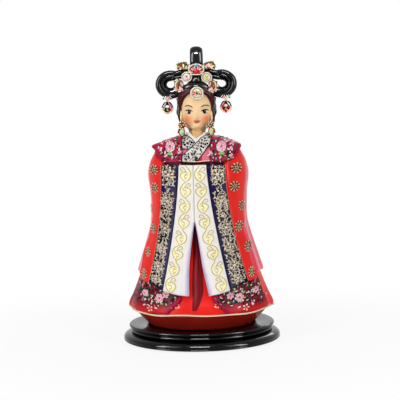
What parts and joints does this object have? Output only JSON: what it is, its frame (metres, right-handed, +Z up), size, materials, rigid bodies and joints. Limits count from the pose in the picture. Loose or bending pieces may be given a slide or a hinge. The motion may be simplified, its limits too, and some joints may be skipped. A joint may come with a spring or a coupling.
{
  "type": "queen doll",
  "caption": "Cast figurine of a queen in a wide court robe with long folded sleeves and looped hair with hanging pendants, standing on a round stepped lacquered base.",
  "frame": {"origin": "centre of the underside of the base's felt pad", "axes": "+Z up through the head, -Y to the front where the figure faces, +X to the doll's own left"},
  "size_m": [0.1324, 0.1328, 0.2493],
  "materials": {
    "felt": "black felt",
    "lacquer": "black gloss lacquer",
    "steel": "plain screw steel",
    "bare_resin": "bare casting",
    "deep_red": "gloss paint",
    "bright_red": "gloss paint",
    "cream": "satin paint",
    "pleat_red": "gloss paint",
    "crimson": "gloss paint with painted flowers",
    "pink_red": "gloss paint",
    "navy": "gloss paint with gold relief",
    "white": "satin paint with gold relief",
    "brocade": "painted lattice",
    "skin": "satin paint",
    "brown_hair": "gloss paint",
    "black_hair": "high gloss paint",
    "old_gold": "pale gold paint",
    "gilt_metal": "gilt cast metal and wire",
    "green_gem": "clear gloss over green"
  },
  "bodies": {
    "doll": {"felt_pad": "felt", "base_lower_tier": "lacquer", "base_upper_tier": "lacquer", "figure_screw": "steel", "tier_screw_left": "steel", "tier_screw_right": "steel", "foot_plug": "bare_resin", "underskirt": "deep_red", "skirt": "bright_red", "hem_piping": "cream", "front_pleat": "pleat_red", "robe_front_left": "crimson", "robe_front_right": "crimson", "robe_back": "pink_red", "torso": "pink_red", "sleeve_left": "bright_red", "sleeve_right": "bright_red", "sleeve_band_left": "navy", "sleeve_band_right": "navy", "cuff_left": "white", "cuff_right": "white", "cape_front_left": "crimson", "cape_front_right": "crimson", "cape_back": "crimson", "lapel_over": "brocade", "lapel_under": "brocade", "neck_band": "white", "head": "skin", "hair_front": "brown_hair", "hair_back": "black_hair", "hair_band": "black_hair", "hair_knot": "black_hair", "loop_root": "black_hair", "side_loop_left": "black_hair", "side_loop_right": "black_hair", "top_loop": "black_hair", "brow_brooch": "old_gold", "crest": "old_gold", "spray_left": "old_gold", "spray_right": "old_gold", "round_brooch_left": "old_gold", "round_brooch_right": "old_gold", "fan_brooch_left": "old_gold", "fan_brooch_right": "old_gold", "pendant_hanger_left": "gilt_metal", "pendant_hanger_right": "gilt_metal", "ear_rosette_left": "old_gold", "ear_rosette_right": "old_gold", "ear_drop_left": "green_gem", "ear_drop_right": "green_gem"},
    "pendant_left": {"loop_pendant_left": "gilt_metal"},
    "pendant_right": {"loop_pendant_right": "gilt_metal"}
  },
  "joints": [
    {"name": "pendant_left_swing", "type": "hinge", "parent": "doll", "child": "pendant_left", "pos_m": [0.0248, 0, 0.2033], "axis": [1, 0, 0], "range_deg": [-45, 45]},
    {"name": "pendant_right_swing", "type": "hinge", "parent": "doll", "child": "pendant_right", "pos_m": [-0.0248, 0, 0.2033], "axis": [1, 0, 0], "range_deg": [-45, 45]}
  ]
}
